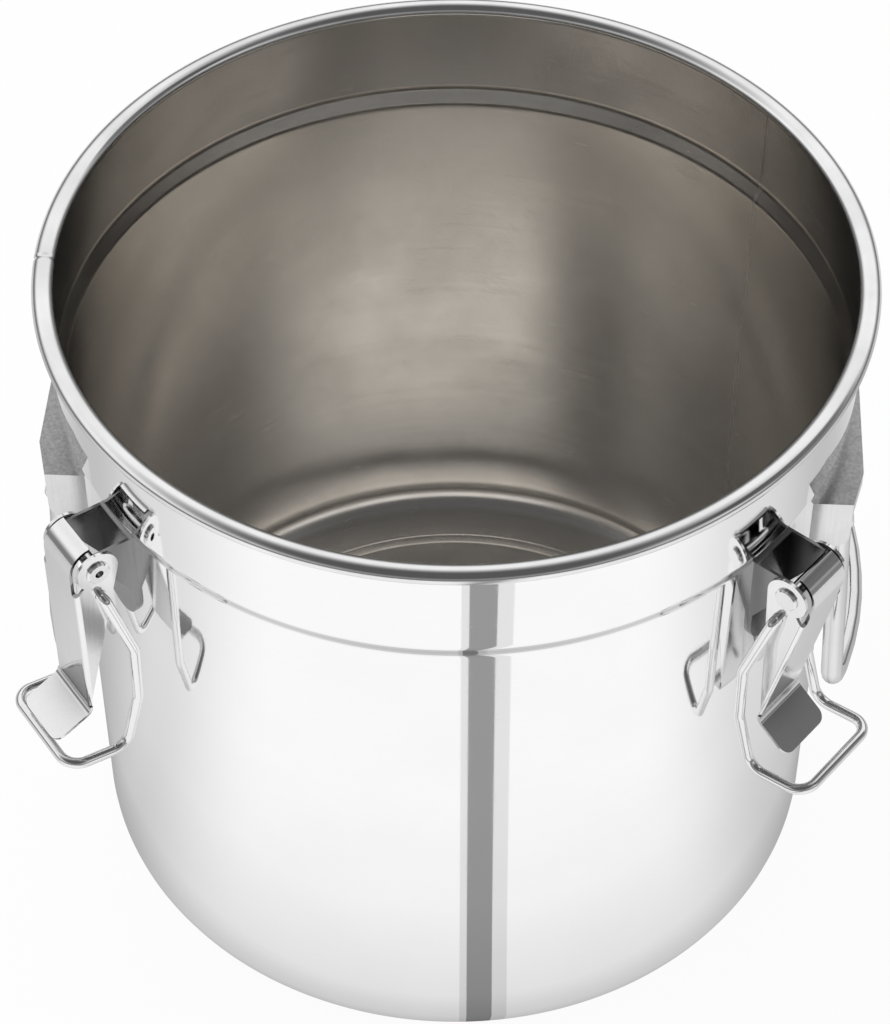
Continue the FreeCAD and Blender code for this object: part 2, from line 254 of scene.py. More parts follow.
# %% [markdown]
# ## The rim
# A bar, flattened to an oval, is bent into a ring and welded on the collar's edge. A torus scaled in
# height would do, but the oval is turned like the wall, so that both have the same steps.

# %% Turn the rim
RIM_RADIUS = 0.146
RIM_HALF_WIDTH = 0.0039
RIM_HALF_HEIGHT = 0.0028
RIM_SIDES = 32

oval = [math.tau * side / RIM_SIDES for side in range(RIM_SIDES)]
rim_line = [
    (RIM_RADIUS + math.cos(turn) * RIM_HALF_WIDTH, RIM_LEVEL + math.sin(turn) * RIM_HALF_HEIGHT)
    for turn in oval
]
rim_mesh = turned("mouth_ring", rim_line)
print("rim faces", len(rim_mesh.polygons))

# %% [markdown]
# ## The rim's butt joint
# The bar's two ends meet at the left in a butt joint that shows as a fine line. A line in the material
# would vanish in the exported mesh, so the ring is cut beside the joint, and the points on the joint
# itself are drawn in to make a groove.

# %% Cut the butt joint
JOINT_AZIMUTH = math.radians(-178)
JOINT_WIDTH = 0.0014
JOINT_DEPTH = 0.0003

joint_edge = Vector((math.cos(JOINT_AZIMUTH), math.sin(JOINT_AZIMUTH), 0))
aside = Vector((-joint_edge.y, joint_edge.x, 0))
rim_work = bmesh.new()
rim_work.from_mesh(rim_mesh)
for side in (-JOINT_WIDTH, -JOINT_WIDTH / 4, JOINT_WIDTH / 4, JOINT_WIDTH):
    bmesh.ops.bisect_plane(rim_work, geom=rim_work.verts[:] + rim_work.edges[:] + rim_work.faces[:],
                           plane_co=aside * side, plane_no=aside)
for vert in rim_work.verts:
    across_joint = abs(vert.co.dot(aside))
    if vert.co.dot(joint_edge) > 0 and across_joint < JOINT_WIDTH / 2:
        spoke = Vector((vert.co.x, vert.co.y, 0)).normalized() * RIM_RADIUS + Vector((0, 0, RIM_LEVEL))
        vert.co += (spoke - vert.co).normalized() * JOINT_DEPTH
rim_work.to_mesh(rim_mesh)
rim_work.free()
mouth_ring = place("mouth_ring", rim_mesh, "drum", "rim_ring", "rim_steel")
print("rim faces with the joint", len(rim_mesh.polygons))

# %% [markdown]
# ## Bent wire and rod
# The bails and the handles are round bar, bent cold in a jig, so each corner is an arc. A curve with a
# round bevel follows that line, and is then turned into a mesh. A bar swept in bmesh would give the
# same, but the curve keeps its section square to the line by itself.

# %% Sweep a round bar
BAR_STEPS = 8
BAR_STEP_TURN = math.radians(6)
BAR_ROUNDNESS = 6


def bent_line(corners, bends):
    """The middle line of a bent bar: straight runs, and an arc at each inner corner."""
    line = [corners[0]]
    for before, corner, after, bend in zip(corners, corners[1:], corners[2:], bends):
        line += corner_arc(before, corner, after, bend, BAR_STEPS, BAR_STEP_TURN)
    return line + [corners[-1]]


def bar_mesh(name, line, radius):
    """A round bar along a line."""
    path = bpy.data.curves.new(name, "CURVE")
    path.dimensions = "3D"
    path.bevel_depth = radius
    path.bevel_resolution = BAR_ROUNDNESS
    path.use_fill_caps = True
    spline = path.splines.new("POLY")
    spline.points.add(len(line) - 1)
    for point, spot in zip(spline.points, line):
        point.co = (spot.x, spot.y, spot.z, 1)
    holder = bpy.data.objects.new(name, path)
    bpy.context.scene.collection.objects.link(holder)
    depsgraph = bpy.context.evaluated_depsgraph_get()
    mesh = bpy.data.meshes.new_from_object(holder.evaluated_get(depsgraph))
    bpy.data.objects.remove(holder)
    bpy.data.curves.remove(path)
    mesh.name = name
    mesh.shade_smooth()
    return mesh


print("bars have", 4 + 2 * BAR_ROUNDNESS, "sides")

# %% [markdown]
# ## Mirror and turn
# Latches and handles are the same on both sides, so each is drawn once on +X. A line's second half is
# the mirror of its first, and a turn about the axis then takes the piece to its place. A Mirror
# modifier would do the first, but the bar has to be swept along the whole line in one go.

# %% Mirror a line and turn a piece


def mirrored(points):
    """A line followed by its mirror image, back from the far end."""
    return points + [Vector((spot.x, -spot.y, spot.z)) for spot in reversed(points)]


def facing(azimuth):
    """The turn that takes a piece drawn on +X to its place round the drum."""
    return Matrix.Rotation(math.radians(azimuth - 90), 4, "Z")


print("a mirrored line of 3 points has", len(mirrored([Vector()] * 3)))

# %% [markdown]
# ## The latch bails
# Each bail is one wire, sprung into two holes in the lever's ears. It spreads to clear the lever, runs
# down beside it and turns up at the foot into the hook that pulls on a lid. One half is drawn, and the
# other is its mirror. The front right latch hangs a little open, so its bail starts a little further in.

# %% Bend the bails
WIRE_RADIUS = 0.002
PIVOT = Vector((0.1575, 0, 0.22))
HOLE_DROP = 0.012
BAIL_RUN = [
    Vector((0, 0.0107, 0)),
    Vector((0, 0.0150, 0)),
    Vector((-0.0064, 0.0207, -0.025)),
    Vector((-0.0059, 0.0207, -0.050)),
    Vector((0.001, 0.0207, -0.074)),
    Vector((0.0245, 0.0207, -0.071)),
]
HALF_BENDS = [0.0025, 0.010, 0.010, 0.007, 0.007]
LATCHES = {
    "front_right": (53, 12),
    "front_left": (-53, 0),
    "rear_right": (127, 0),
    "rear_left": (-127, 0),
}

bails = []
for corner, (azimuth, tilt) in LATCHES.items():
    swing = math.radians(tilt)
    hole = PIVOT - Vector((math.sin(swing), 0, math.cos(swing))) * HOLE_DROP
    corners = mirrored([hole + spot for spot in BAIL_RUN])
    mesh = bar_mesh("bail_wire_" + corner, bent_line(corners, HALF_BENDS + HALF_BENDS[::-1]), WIRE_RADIUS)
    mesh.transform(facing(azimuth))
    bails.append(place("bail_wire_" + corner, mesh, "bail_" + corner, "wire_bail_" + corner, "wire_steel"))
print("bails", [piece.name for piece in bails])

# %% [markdown]
# ## The handles' eyes
# Each handle hangs by two eyes, short rings with a softened edge. A cylinder with a hole cut by a
# Boolean would do, but a small section turned about the pin has clean faces and no cutting.

# %% Turn an eye
EYE_RADIUS = 0.0047
EYE_HALF_WIDTH = 0.0043
EYE_BORE = 0.00255
EYE_SOFTEN = 0.0006


def eye_ring(middle):
    """A ring about the pin: a closed section turned about a line along Y."""
    section = [
        (EYE_BORE, -EYE_HALF_WIDTH),
        (EYE_RADIUS - EYE_SOFTEN, -EYE_HALF_WIDTH),
        (EYE_RADIUS, -EYE_HALF_WIDTH + EYE_SOFTEN),
        (EYE_RADIUS, EYE_HALF_WIDTH - EYE_SOFTEN),
        (EYE_RADIUS - EYE_SOFTEN, EYE_HALF_WIDTH),
        (EYE_BORE, EYE_HALF_WIDTH),
    ]
    mesh = turned("handle_eye", section)
    mesh.transform(Matrix.Translation(middle) @ Matrix.Rotation(math.pi / 2, 4, "X"))
    return mesh


print("an eye is", 2 * EYE_RADIUS, "across")

# %% [markdown]
# ## The drop handles
# A rod hangs from the two eyes under each hood, and its grip follows the drum's curve. The grip is the
# arc that touches both end runs, so its crown is one more corner of the line with a large bend.

# %% Bend the handles
ROD_RADIUS = 0.004
ROD_START = 0.0025
GRIP_CORNER = 0.009
GRIP_RADIUS = 0.1545
GRIP_CORNER_RUN = 0.010
GRIP_LEVEL = 0.117
HANDLE_LEVEL = 0.2105
HANDLE_REACH = 0.139562
HANDLE_LEG = 0.055257

corner_reach = math.hypot(GRIP_RADIUS, GRIP_CORNER_RUN)
bow = math.asin(HANDLE_LEG / corner_reach) - math.atan2(GRIP_CORNER_RUN, GRIP_RADIUS)
corner = Vector((math.sqrt(corner_reach**2 - HANDLE_LEG**2), HANDLE_LEG, GRIP_LEVEL))
crown = Vector((GRIP_RADIUS / math.cos(bow), 0, GRIP_LEVEL))
eye = Vector((HANDLE_REACH, HANDLE_LEG, HANDLE_LEVEL))
top = eye + (corner - eye).normalized() * ROD_START
across = Vector((1, -1, 1))
rod_line = bent_line([top, corner, crown, corner * across, top * across],
                     [GRIP_CORNER, GRIP_RADIUS, GRIP_CORNER])

grips = []
for side, azimuth in (("right", 90), ("left", -90)):
    rod = bmesh.new()
    rod.from_mesh(bar_mesh("grip_rod", rod_line, ROD_RADIUS))
    for end in (eye, eye * across):
        rod.from_mesh(eye_ring(end))
    mesh = bpy.data.meshes.new("grip_" + side)
    rod.to_mesh(mesh)
    rod.free()
    mesh.transform(facing(azimuth))
    grips.append(place("grip_" + side, mesh, "handle_" + side, "drop_handle_" + side, "handle_steel"))
print("handles", [piece.name for piece in grips])

# %% [markdown]
# ## Node helpers
# A material is a tree of nodes. Placed by hand, each node takes three or four lines, so these short
# helpers place one and set or link its inputs. A value is linked if it is a socket, and set if not. The
# Mix node has the same names for numbers and colours, so its colour sockets are found by their number.

# %% Helpers for nodes
FLOAT, VECTOR = "NodeSocketFloat", "NodeSocketVector"
MIX_FIRST, MIX_SECOND, MIX_RESULT = 6, 7, 2


def feed(tree, socket, value):
    if hasattr(value, "default_value"):
        tree.links.new(value, socket)
    elif value is not None:
        socket.default_value = value


def math_node(tree, operation, first, second=None, clamp=False):
    node = tree.nodes.new("ShaderNodeMath")
    node.operation = operation
    node.use_clamp = clamp
    for socket, value in zip(node.inputs, (first, second)):
        feed(tree, socket, value)
    return node.outputs[0]


def mix_colour(tree, factor, first, second, blend="MIX"):
    node = tree.nodes.new("ShaderNodeMix")
    node.data_type = "RGBA"
    node.blend_type = blend
    feed(tree, node.inputs[0], factor)
    for number, value in ((MIX_FIRST, first), (MIX_SECOND, second)):
        feed(tree, node.inputs[number], (*value, 1) if isinstance(value, tuple) else value)
    return node.outputs[MIX_RESULT]


print("socket kinds", FLOAT, VECTOR)

# %% [markdown]
# ## Noise for metal
# Nearly every mark on metal is longer one way than the other. Noise whose coordinates are scaled by a
# different amount along each axis gives that. The Mapping node could scale them too, but a plain
# multiplication has only the one setting that is needed.

# %% Helpers for noise and greys


def split(tree, vector):
    node = tree.nodes.new("ShaderNodeSeparateXYZ")
    tree.links.new(vector, node.inputs[0])
    return node.outputs


def stretched_noise(tree, vector, stretch, detail):
    """Noise whose coordinates are first scaled by stretch."""
    scaled = tree.nodes.new("ShaderNodeVectorMath")
    scaled.operation = "MULTIPLY"
    feed(tree, scaled.inputs[0], vector)
    feed(tree, scaled.inputs[1], stretch)
    noise = tree.nodes.new("ShaderNodeTexNoise")
    noise.inputs["Scale"].default_value = 1.0
    noise.inputs["Detail"].default_value = detail
    tree.links.new(scaled.outputs[0], noise.inputs["Vector"])
    return noise.outputs["Fac"]


def grey(level):
    return (level, level, level)


print("a grey", grey(0.5))

# %% [markdown]
# ## What polishing leaves behind
# Bright steel is never an even mirror. The wheel leaves fine lines along its travel. This is a node
# group, so that every steel in the scene can use it at its own scale. A group puts out masks and
# values; the shader stays in the material. The lines are noise that is squeezed in one direction.

# %% Group for polishing lines


def new_group(name, inputs, outputs):
    group = bpy.data.node_groups.new(name, "ShaderNodeTree")
    for label, kind, value in inputs:
        socket = group.interface.new_socket(label, in_out="INPUT", socket_type=kind)
        if value is not None:
            socket.default_value = value
    for label, kind in outputs:
        group.interface.new_socket(label, in_out="OUTPUT", socket_type=kind)
    return group, group.nodes.new("NodeGroupInput").outputs, group.nodes.new("NodeGroupOutput").inputs


lines_group, given, result = new_group(
    "polishing_lines", [("Vector", VECTOR, None), ("Stretch", VECTOR, (40, 40, 4000))], [("Lines", FLOAT)])
coarse = stretched_noise(lines_group, given["Vector"], given["Stretch"], 4)
lines_group.links.new(coarse, result["Lines"])
print("group", lines_group.name)

# %% [markdown]
# ## Hairlines
# Cloths and grit leave single thin scratches. Each follows the middle level of a stretched noise, which
# is a thin wandering line. A second, rounder noise lets them show only in patches, as on a real drum.

# %% Group for hairlines
PATCH_SCALE = (90, 90, 90)
PATCH_EDGE = 6.0

hairline_group, given, result = new_group(
    "hairlines",
    [("Vector", VECTOR, None), ("Stretch", VECTOR, (18, 18, 900)), ("Width", FLOAT, 0.01)],
    [("Mask", FLOAT)])
wander = stretched_noise(hairline_group, given["Vector"], given["Stretch"], 2)
off_line = math_node(hairline_group, "ABSOLUTE", math_node(hairline_group, "SUBTRACT", wander, 0.5))
thin = math_node(hairline_group, "DIVIDE", off_line, given["Width"])
line_mask = math_node(hairline_group, "SUBTRACT", 1.0, thin, clamp=True)
patch = math_node(hairline_group, "SUBTRACT",
                  stretched_noise(hairline_group, given["Vector"], PATCH_SCALE, 1), 0.5)
patch_mask = math_node(hairline_group, "MULTIPLY", patch, PATCH_EDGE, clamp=True)
hairline_group.links.new(math_node(hairline_group, "MULTIPLY", line_mask, patch_mask), result["Mask"])
print("group", hairline_group.name)

# %% [markdown]
# ## Bloom from handling
# Hands and washing leave a faint bloom, a cloud that is a little duller than the steel round it. A soft
# noise with its middle spread out gives the cloud.

# %% Group for bloom
BLOOM_START = 0.35
BLOOM_SPREAD = 3.0

bloom_group, given, result = new_group(
    "handling_bloom", [("Vector", VECTOR, None), ("Scale", FLOAT, 30.0)], [("Bloom", FLOAT)])
cloud = bloom_group.nodes.new("ShaderNodeTexNoise")
cloud.inputs["Detail"].default_value = 4
bloom_group.links.new(given["Vector"], cloud.inputs["Vector"])
bloom_group.links.new(given["Scale"], cloud.inputs["Scale"])
over_start = math_node(bloom_group, "SUBTRACT", cloud.outputs["Fac"], BLOOM_START)
bloom_group.links.new(math_node(bloom_group, "MULTIPLY", over_start, BLOOM_SPREAD, clamp=True), result["Bloom"])
print("group", bloom_group.name)

# %% [markdown]
# ## Round the drum
# The wheel travels round the drum, so its lines do too. This group rolls a place out flat: X is the way
# round, Y the distance from the axis and Z the height. UV maps could do this, but the CAD solids have
# none.

# %% Group for places round the drum
round_group, given, result = new_group("around_the_drum", [("Vector", VECTOR, None)], [("Vector", VECTOR)])
spot_x, spot_y, spot_z = split(round_group, given["Vector"])
way_round = math_node(round_group, "ARCTAN2", spot_y, spot_x)
flat_place = round_group.nodes.new("ShaderNodeCombineXYZ")
round_group.links.new(spot_x, flat_place.inputs["X"])
round_group.links.new(spot_y, flat_place.inputs["Y"])
from_axis = round_group.nodes.new("ShaderNodeVectorMath")
from_axis.operation = "LENGTH"
round_group.links.new(flat_place.outputs[0], from_axis.inputs[0])
rolled_out = round_group.nodes.new("ShaderNodeCombineXYZ")
round_group.links.new(math_node(round_group, "MULTIPLY", way_round, BODY_RADIUS), rolled_out.inputs["X"])
round_group.links.new(from_axis.outputs["Value"], rolled_out.inputs["Y"])
round_group.links.new(spot_z, rolled_out.inputs["Z"])
round_group.links.new(rolled_out.outputs[0], result["Vector"])
print("group", round_group.name)

# %% [markdown]
# ## The welded seam
# The rolled sheet is closed by one upright weld, ground flush, which shows as a faint line. It is a
# mask that falls off to both sides of one place round the drum. A modelled bead would stand proud.

# %% Group for the seam
SEAM_AZIMUTH = math.radians(39.3)

seam_group, given, result = new_group(
    "welded_seam", [("Vector", VECTOR, None), ("Width", FLOAT, 0.0012)], [("Seam", FLOAT)])
round_place = split(seam_group, given["Vector"])["X"]
from_seam = math_node(seam_group, "SUBTRACT", round_place, BODY_RADIUS * SEAM_AZIMUTH)
seam_share = math_node(seam_group, "DIVIDE", math_node(seam_group, "ABSOLUTE", from_seam), given["Width"])
seam_group.links.new(math_node(seam_group, "SUBTRACT", 1.0, seam_share, clamp=True), result["Seam"])
print("group", seam_group.name)

# %% [markdown]
# ## Painted shade on the steel
# Three places are painted darker than the rest, as shade. A band on the step's bend is painted darker,
# to deepen the line under the rim. Faces that turn upward, the hoods' tops, are painted darker as shade,
# with the lines of a brush in that dark tone, and they are also rougher. The insides of the levers,
# brackets and hoods are painted darker as shade, and they are found by the Ambient Occlusion node, which
# measures how closed in a point is. Each helper takes the steel's colour and gives it back with the
# painted shade put in.

# %% Helpers for painted shade
BEND_HALF_WIDTH = 0.0022
BEND_FULL = 1.4
SLOPE_START = 0.10
SLOPE_SPREAD = 5.0
SLOPE_DULLING = 0.6
RECESS_POWER = 1.6
RECESS_TONE = grey(0.06)


# Painted shade: a darker band round the step's bend, to deepen the line under the rim.
def dull_bend(tree, colour, place_on, bend_tone):
    level = math_node(tree, "SUBTRACT", split(tree, place_on)["Z"], (STEP_FOOT + STEP_TOP) / 2)
    off_bend = math_node(tree, "DIVIDE", math_node(tree, "ABSOLUTE", level), BEND_HALF_WIDTH)
    in_bend = math_node(tree, "SUBTRACT", BEND_FULL, off_bend, clamp=True)
    return mix_colour(tree, in_bend, colour, bend_tone)


# Painted shade: faces that turn upward are darkened, by the world-space normal.
def sloped_mask(tree):
    normal = tree.nodes.new("ShaderNodeNewGeometry").outputs["Normal"]
    over_start = math_node(tree, "SUBTRACT", split(tree, normal)["Z"], SLOPE_START)
    return math_node(tree, "MULTIPLY", over_start, SLOPE_SPREAD, clamp=True)


# Painted shade: closed-in places darkened towards near black, by the Ambient Occlusion node.
def dark_recess(tree, colour, distance):
    open_air = tree.nodes.new("ShaderNodeAmbientOcclusion")
    open_air.inputs["Distance"].default_value = distance
    open_air.only_local = True
    openness = math_node(tree, "POWER", open_air.outputs["AO"], RECESS_POWER)
    return mix_colour(tree, openness, RECESS_TONE, colour)


print("the bend's middle is at", (STEP_FOOT + STEP_TOP) / 2)

# %% [markdown]
# ## The recipe for steel
# One recipe makes every finish: a metal whose tone and roughness shift with the bloom, with polishing
# lines and hairlines in its bump. What differs is the direction of the lines, how rough the wheel was
# and how bright the steel is. A Principled shader with Metallic at 1 is enough, because the base colour
# of a metal is the tint of its reflection.

# %% Helpers for the recipe


def place_group(tree, group, **values):
    node = tree.nodes.new("ShaderNodeGroup")
    node.node_tree = group
    for label, value in values.items():
        feed(tree, node.inputs[label], value)
    return node.outputs[0]


def blend_range(tree, value, low, high):
    node = tree.nodes.new("ShaderNodeMapRange")
    node.inputs["To Min"].default_value = low
    node.inputs["To Max"].default_value = high
    tree.links.new(value, node.inputs["Value"])
    return node.outputs["Result"]


print("the recipe uses", len(bpy.data.node_groups), "groups")

# %% [markdown]
# The recipe itself reads from top to bottom as the light meets it: where on the piece, which marks, what
# colour, how rough and how the marks tilt the surface. Hairlines are scratches, so they are rougher than
# the steel and lie below it. A texture could hold all this, but nodes stay sharp at any distance.

# %% The recipe
HAIR_WIDTH = 0.004
HAIR_GLOSS = 0.4
HAIR_DEPTH = 0.5
WELD_SHARE = 0.6
RELIEF_DEPTH = 0.0001


def steel(name, bright, dull, smooth, rough, stretch, bump, rolled=False, seam=False,
          bend_tone=None, slope_tone=None, recess=None):
    material = bpy.data.materials.new(name)
    material.use_nodes = True
    tree = material.node_tree
    shader = tree.nodes["Principled BSDF"]
    shader.inputs["Metallic"].default_value = 1.0
    place_on = tree.nodes.new("ShaderNodeTexCoord").outputs["Object"]
    along = place_group(tree, round_group, Vector=place_on) if rolled else place_on
    lines = place_group(tree, lines_group, Vector=along, Stretch=stretch)
    hairs = place_group(tree, hairline_group, Vector=along, Width=HAIR_WIDTH)
    bloom = place_group(tree, bloom_group, Vector=place_on)
    half_bloom = math_node(tree, "MULTIPLY", bloom, 0.5)
    tone = math_node(tree, "ADD", half_bloom, math_node(tree, "MULTIPLY", lines, 0.5))
    if seam:
        weld = place_group(tree, seam_group, Vector=along)
        tone = math_node(tree, "ADD", tone, math_node(tree, "MULTIPLY", weld, WELD_SHARE))
    colour = mix_colour(tree, tone, bright, dull)
    # Painted shade: a darker band on the step's bend.
    if bend_tone:
        colour = dull_bend(tree, colour, place_on, bend_tone)
    # Painted shade: faces that turn upward are darker, with the lines in the dark tone, and they are also
    # rougher.
    if slope_tone:
        sloped = sloped_mask(tree)
        colour = mix_colour(tree, sloped, colour, mix_colour(tree, lines, *slope_tone))
        tone = math_node(tree, "ADD", tone, math_node(tree, "MULTIPLY", sloped, SLOPE_DULLING))
    # Painted shade: darker where the Ambient Occlusion node finds closed-in places.
    if recess:
        colour = dark_recess(tree, colour, recess)
    tree.links.new(colour, shader.inputs["Base Color"])
    gloss = math_node(tree, "ADD", tone, math_node(tree, "MULTIPLY", hairs, HAIR_GLOSS))
    tree.links.new(blend_range(tree, gloss, smooth, rough), shader.inputs["Roughness"])
    relief = tree.nodes.new("ShaderNodeBump")
    relief.inputs["Strength"].default_value = bump
    relief.inputs["Distance"].default_value = RELIEF_DEPTH
    height = math_node(tree, "SUBTRACT", lines, math_node(tree, "MULTIPLY", hairs, HAIR_DEPTH))
    tree.links.new(height, relief.inputs["Height"])
    tree.links.new(relief.outputs["Normal"], shader.inputs["Normal"])
    return material


print("marks in every steel:", lines_group.name, hairline_group.name, bloom_group.name)

# %% [markdown]
# ## The drum's steels
# Bright polished sheet is close to white. The inside is only pickled and satin, so it is greyer and a
# little warm, and its collar band is coloured darker. On the wall the lines run round,
# and on the bottom they are rings, because it is polished while it spins. The third number of a stretch
# is for height, and the second for the distance out.

# %% Mix the drum's steels
SATIN_BRIGHT, SATIN_DULL = (0.89, 0.865, 0.83), (0.82, 0.795, 0.76)
COLLAR_BRIGHT, COLLAR_DULL = (0.62, 0.61, 0.595), (0.50, 0.49, 0.475)

# The bright wall paints a band of shade on the step's bend.
bright_wall = steel("bright_wall", grey(0.97), grey(0.94), smooth=0.02, rough=0.07,
                    stretch=(12, 12, 900), bump=0.02, rolled=True, seam=True, bend_tone=grey(0.60))
bright_foot = steel("bright_foot", grey(0.97), grey(0.94), smooth=0.02, rough=0.07,
                    stretch=(8, 900, 900), bump=0.02, rolled=True)
satin_inside = steel("satin_inside", SATIN_BRIGHT, SATIN_DULL, smooth=0.14, rough=0.30,
                     stretch=(10, 10, 700), bump=0.12, rolled=True, seam=True)
satin_collar = steel("satin_collar", COLLAR_BRIGHT, COLLAR_DULL, smooth=0.14, rough=0.30,
                     stretch=(10, 10, 700), bump=0.12, rolled=True, seam=True)
satin_floor = steel("satin_floor", SATIN_BRIGHT, SATIN_DULL, smooth=0.14, rough=0.30,
                    stretch=(6, 500, 500), bump=0.12, rolled=True)
bright_rim = steel("bright_rim", grey(0.96), grey(0.68), smooth=0.10, rough=0.22,
                   stretch=(30, 30, 1500), bump=0.04, rolled=True)
drum_steels = (bright_wall, bright_foot, satin_inside, satin_collar, satin_floor, bright_rim)
print("drum steels", [finish.name for finish in drum_steels])

# %% [markdown]
# ## The fittings' steels
# Levers are pressed and tumbled bright, brackets are coloured dark grey as painted shade, and wire and rod keep
# the lines of the die that they were drawn through. The same recipe makes them all, and it paints shade into
# the insides of the levers, brackets and hoods.

# %% Mix the fittings' steels
# The levers' and brackets' steels paint their insides darker, as shade.
pressed_steel = steel("pressed_steel", grey(0.92), grey(0.82), smooth=0.06, rough=0.18,
                      stretch=(900, 900, 60), bump=0.06, recess=0.018)
# Painted shade: the latch brackets are coloured dark grey to stand in for the shade round the latches.
bracket_steel = steel("bracket_steel", grey(0.30), grey(0.20), smooth=0.14, rough=0.28,
                      stretch=(900, 900, 60), bump=0.08, recess=0.018)
# The hood's steel paints its upward faces and its insides darker, as shade.
hood_steel = steel("hood_steel", grey(0.80), grey(0.64), smooth=0.12, rough=0.26,
                   stretch=(900, 900, 60), bump=0.06, rolled=True,
                   slope_tone=(grey(0.50), grey(0.20)), recess=0.010)
drawn_wire = steel("drawn_wire", grey(0.90), grey(0.80), smooth=0.08, rough=0.20,
                   stretch=(1500, 1500, 60), bump=0.08)
rivet_steel = steel("rivet_steel", grey(0.90), grey(0.78), smooth=0.10, rough=0.25,
                    stretch=(700, 700, 700), bump=0.10)
handle_steel = steel("handle_steel", grey(0.84), grey(0.72), smooth=0.06, rough=0.16,
                     stretch=(900, 900, 50), bump=0.06)
fitting_steels = (pressed_steel, bracket_steel, hood_steel, drawn_wire, rivet_steel, handle_steel)
print("fitting steels", [finish.name for finish in fitting_steels])

# %% [markdown]
# ## Dress the pieces
# The turned pieces take two finishes, outside and inside, and the wall a third for its collar. The
# solids that stay keep their own shape and only change their material. The hidden solids are dressed
# too, so that no plain surface is left.

# %% Assign the steels
for piece, outside, inside in ((drum_wall, bright_wall, satin_inside), (drum_bottom, bright_foot, satin_floor)):
    piece.data.materials.append(outside)
    piece.data.materials.append(inside)
drum_wall.data.materials.append(satin_collar)
mouth_ring.data.materials.append(bright_rim)
for piece in bails:
    piece.data.materials.append(drawn_wire)
for piece in grips:
    piece.data.materials.append(handle_steel)

finishes = {
    "latch_bracket": bracket_steel,
    "latch_lever": pressed_steel,
    "latch_rivet": rivet_steel,
    "handle_bracket": hood_steel,
    "handle_pins": hood_steel,
    "side_wall": bright_wall,
    "bottom_pan": bright_foot,
    "rim_ring": bright_rim,
    "wire_bail": drawn_wire,
    "drop_handle": handle_steel,
}
for node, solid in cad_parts.items():
    finish = next(finishes[key] for key in finishes if node.startswith(key))
    for slot in solid.material_slots:
        slot.material = finish
print("dressed", len(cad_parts), "solids")

# %% [markdown]
# ## The floor
# The drum stands on a white sweep. A large flat grid is enough: the pale room meets it out of sight.

# %% Lay the floor
FLOOR_HALF = 6.0

floor_mesh = bpy.data.meshes.new("studio_floor")
floor_work = bmesh.new()
bmesh.ops.create_grid(floor_work, x_segments=8, y_segments=8, size=FLOOR_HALF)
floor_work.to_mesh(floor_mesh)
floor_work.free()
floor = bpy.data.objects.new("studio_floor", floor_mesh)
bpy.context.scene.collection.objects.link(floor)
print("floor", floor.dimensions[:2])

# %% [markdown]
# ## Ramps of grey
# The floor's tones in a reflection change with place, and a Color Ramp says how. Each ramp is a short
# list of places and greys. Float curves could do the same, but a list is easier to read and to change.

# %% Helpers for ramps


def tone_ramp(tree, value, stops, interpolation="LINEAR"):
    node = tree.nodes.new("ShaderNodeValToRGB")
    ramp = node.color_ramp
    ramp.interpolation = interpolation
    ramp.elements.remove(ramp.elements[1])
    ramp.elements[0].position = stops[0][0]
    for stop in stops[1:]:
        ramp.elements.new(stop[0])
    for element, stop in zip(ramp.elements, stops):
        element.color = (*grey(stop[1]), 1)
    tree.links.new(value, node.inputs["Fac"])
    return node.outputs["Color"]


def centred(stops):
    """Stops that run from -1 to 1, as the ramp's 0 to 1."""
    return [(place / 2 + 0.5, level) for place, level in stops]


print("the middle stop is at", centred([(0.0, 1.0)])[0][0])

# %% [markdown]
# ## The strip in the reflection
# Bright steel shows nothing but what is round it. A grey strip on the floor draws the upright band on
# the wall. On a round wall, lines that stay upright come from a point at half the radius, so the strip
# is a wedge from there: its edges are slopes, sideways over ahead. Behind that point there is no strip.

# %% Draw the strip
STRIP_APEX = BODY_RADIUS / 2
STRIP_NEAR = 0.02
FAR_ASIDE = 1000.0
STRIP_EDGES = [(-1.0, 1.0), (0.027, 0.80), (0.067, 0.29), (0.21, 0.80), (0.29, 1.0)]
LEAST = 0.001

floor_paint = bpy.data.materials.new("studio_floor")
floor_paint.use_nodes = True
tree = floor_paint.node_tree
tree.nodes.clear()
turned_floor = tree.nodes.new("ShaderNodeVectorRotate")
turned_floor.rotation_type = "Z_AXIS"
turned_floor.inputs["Angle"].default_value = -EYE_AZIMUTH
tree.links.new(tree.nodes.new("ShaderNodeTexCoord").outputs["Object"], turned_floor.inputs["Vector"])
floor_x, floor_y, floor_z = split(tree, turned_floor.outputs[0])
front = math_node(tree, "MULTIPLY", floor_y, -1.0)
ahead = math_node(tree, "SUBTRACT", front, STRIP_APEX)
slope = math_node(tree, "DIVIDE", floor_x, math_node(tree, "MAXIMUM", ahead, LEAST))
behind = math_node(tree, "LESS_THAN", ahead, STRIP_NEAR)
slope = math_node(tree, "SUBTRACT", slope, math_node(tree, "MULTIPLY", behind, FAR_ASIDE))
slope_share = math_node(tree, "ADD", math_node(tree, "MULTIPLY", slope, 0.5), 0.5, clamp=True)
strip_tone = tone_ramp(tree, slope_share, centred(STRIP_EDGES), "CONSTANT")
print("strip starts", STRIP_APEX, "in front of the axis")

# %% [markdown]
# ## How the reflected floor falls off
# In reflections only, the floor is painted darker to the sides, as light falling off, and painted with a
# shadow under the drum, and that is what gives the wall its soft grey edges and its grey foot. Two ramps
# say it: one by direction, one by distance.

# %% Shade the reflected floor
SIDE_STOPS = [(-1.0, 0.84), (-0.25, 0.52), (0.25, 0.74), (0.75, 1.0)]
FOOT_STOPS = [(0.140, 0.52), (0.148, 0.62), (0.160, 0.80), (0.200, 0.94), (0.250, 1.0)]

